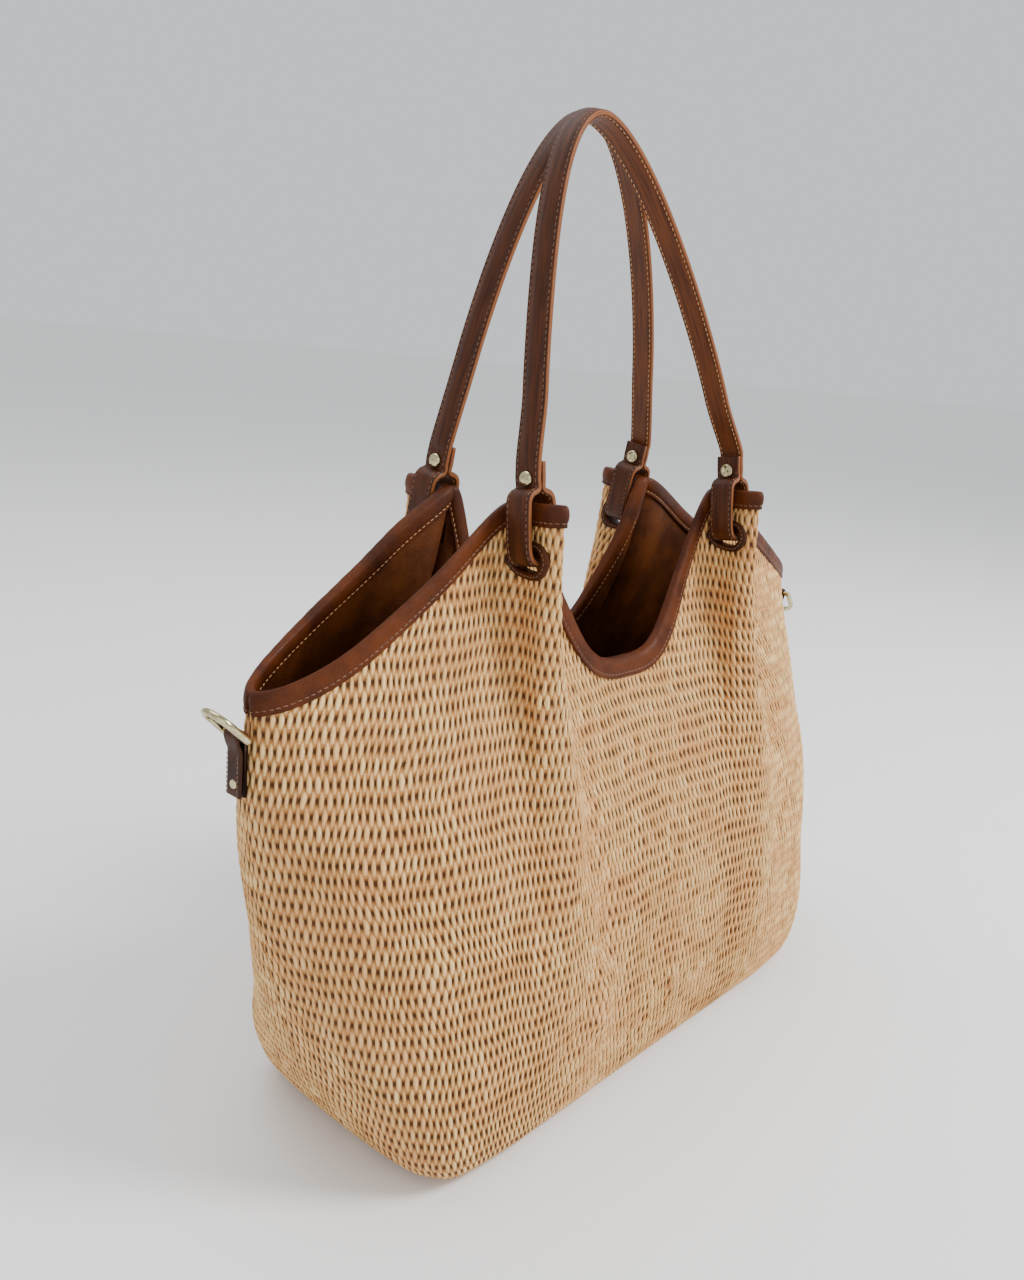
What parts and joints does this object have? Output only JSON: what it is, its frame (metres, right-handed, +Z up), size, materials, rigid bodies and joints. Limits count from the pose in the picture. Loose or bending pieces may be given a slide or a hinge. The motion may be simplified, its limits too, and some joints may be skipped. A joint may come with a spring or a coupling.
{
  "type": "woven straw tote bag",
  "caption": "Lined woven straw tote with a scalloped leather-bound mouth, two swinging padded leather handles threaded through corner slots, and a D-ring at each end.",
  "frame": {"origin": "on the floor, straight below the middle of the mouth", "axes": "+X along the bag to the right end, -Y to the front, +Z up"},
  "size_m": [0.5452, 0.1807, 0.5597],
  "materials": {
    "straw_weave": "coarse plain weave of twisted paper straw",
    "lining_leather": "pebbled dark brown",
    "trim_leather": "satin cognac brown with stitching",
    "strap_leather": "satin cognac brown, stitched, pale cut edges",
    "strap_backing": "smooth cognac brown, stitched",
    "core_cord": "felt filler",
    "board": "matte stiffening board",
    "nickel": "polished pale brass-nickel"
  },
  "bodies": {
    "bag": {"woven_front": "straw_weave", "woven_back": "straw_weave", "lining_front": "lining_leather", "lining_back": "lining_leather", "base_board": "board", "binding_front": "trim_leather", "binding_back": "trim_leather", "patches_front_left": "trim_leather", "patches_front_right": "trim_leather", "patches_back_left": "trim_leather", "patches_back_right": "trim_leather", "ring_tab_left": "trim_leather", "ring_tab_right": "trim_leather", "ring_rivet_left": "nickel", "ring_rivet_right": "nickel"},
    "handle_front": {"handle_front_leather": "strap_leather", "handle_front_core": "core_cord", "handle_front_backing": "strap_backing", "rivet_front_left": "nickel", "rivet_front_right": "nickel", "washer_front_left": "nickel", "washer_front_right": "nickel"},
    "handle_back": {"handle_back_leather": "strap_leather", "handle_back_core": "core_cord", "handle_back_backing": "strap_backing", "rivet_back_left": "nickel", "rivet_back_right": "nickel", "washer_back_left": "nickel", "washer_back_right": "nickel"},
    "ring_left": {"ring_left": "nickel"},
    "ring_right": {"ring_right": "nickel"}
  },
  "joints": [
    {"name": "handle_front_swing", "type": "hinge", "parent": "bag", "child": "handle_front", "pos_m": [0, -0.042, 0.322], "axis": [1, 0, 0], "range_deg": [0, 18]},
    {"name": "handle_back_swing", "type": "hinge", "parent": "bag", "child": "handle_back", "pos_m": [0, 0.042, 0.322], "axis": [-1, 0, 0], "range_deg": [0, 18]},
    {"name": "ring_left_swing", "type": "hinge", "parent": "bag", "child": "ring_left", "pos_m": [-0.25367, -0.00193, 0.244], "axis": [0, -1, 0], "range_deg": [-34, 104]},
    {"name": "ring_right_swing", "type": "hinge", "parent": "bag", "child": "ring_right", "pos_m": [0.26066, -0.00114, 0.258], "axis": [0, 1, 0], "range_deg": [-128, 10]}
  ]
}
